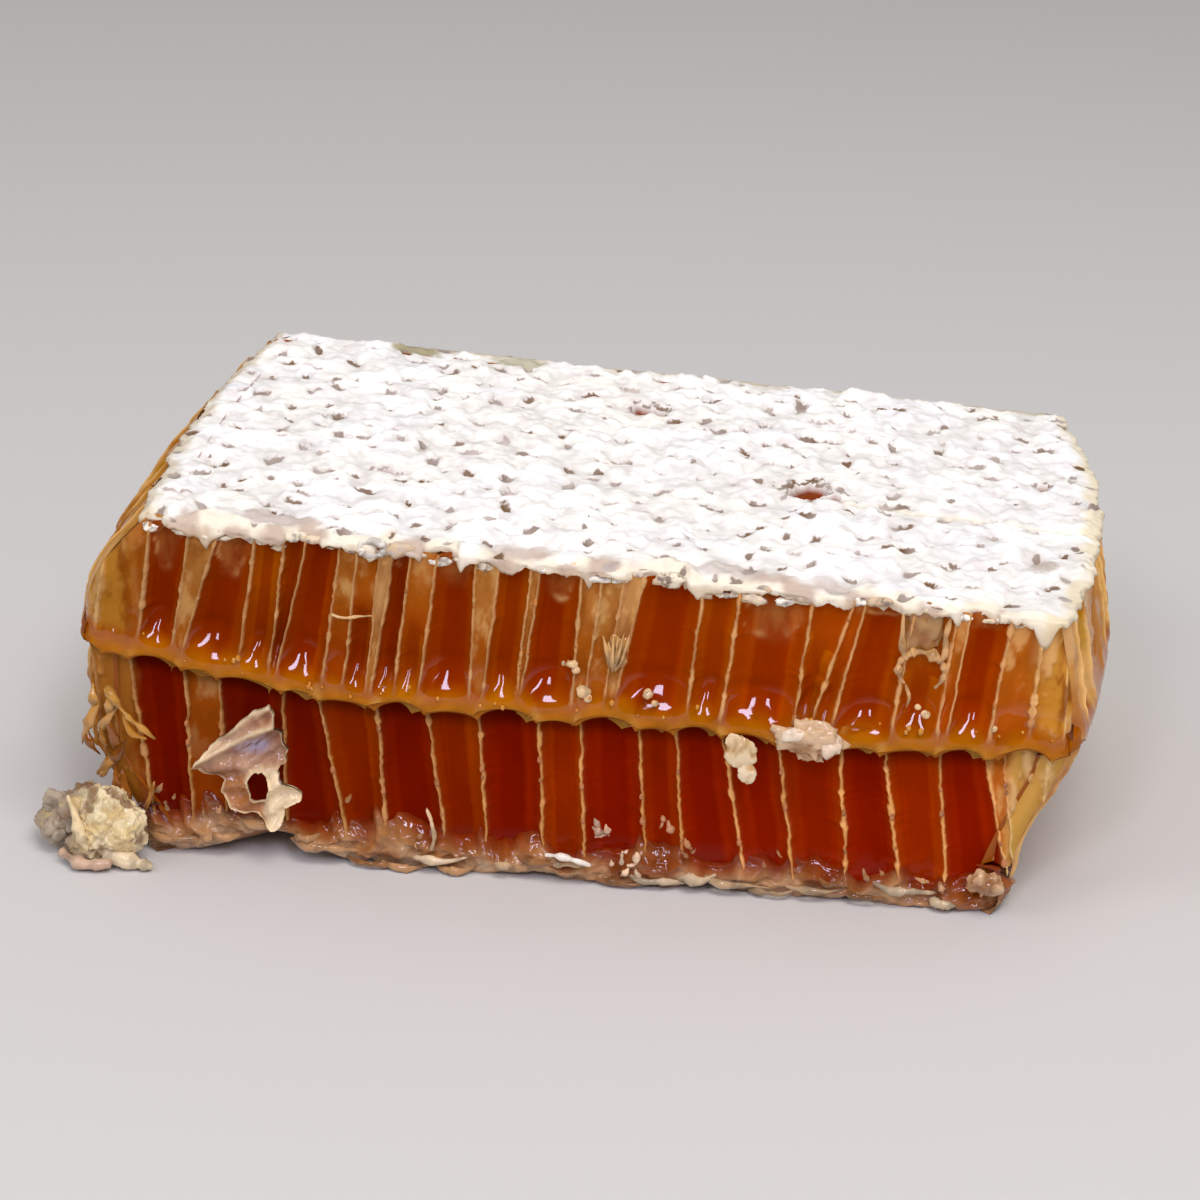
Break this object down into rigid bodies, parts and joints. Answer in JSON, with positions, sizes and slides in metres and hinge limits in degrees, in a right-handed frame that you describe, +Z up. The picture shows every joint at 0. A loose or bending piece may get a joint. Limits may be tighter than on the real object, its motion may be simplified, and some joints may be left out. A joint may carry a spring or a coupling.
{
  "type": "comb honey block",
  "caption": "Knife-cut block of comb honey lying flat: white wax cappings, honey-filled cells on both sides of a midrib, a ragged base and a crushed wax crumb at one corner.",
  "frame": {"origin": "centre of the bounding box on the board the block lies on", "axes": "+X along the block's width, -Y out of the long cut face, +Z up out of the white cappings"},
  "size_m": [0.1007, 0.0614, 0.0352],
  "materials": {
    "top_cappings": "white beeswax cappings, satin, finely lumpy",
    "upper_cells": "dark amber honey in pale wax cells, wet gloss",
    "midrib": "honey-soaked wax midrib, wet gloss",
    "lower_cells": "dark red-brown honey in pale wax cells, wet gloss",
    "bottom_cappings": "honey-wetted crushed beeswax, patchy gloss",
    "wax_crumb": "crushed cream and grey beeswax, wet highlights",
    "torn_flap": "thin torn wax, honey-wetted"
  },
  "bodies": {
    "root": {"top_cappings": "top_cappings", "upper_cells": "upper_cells", "midrib": "midrib", "lower_cells": "lower_cells", "bottom_cappings": "bottom_cappings", "wax_crumb": "wax_crumb", "torn_flap": "torn_flap"}
  },
  "joints": []
}
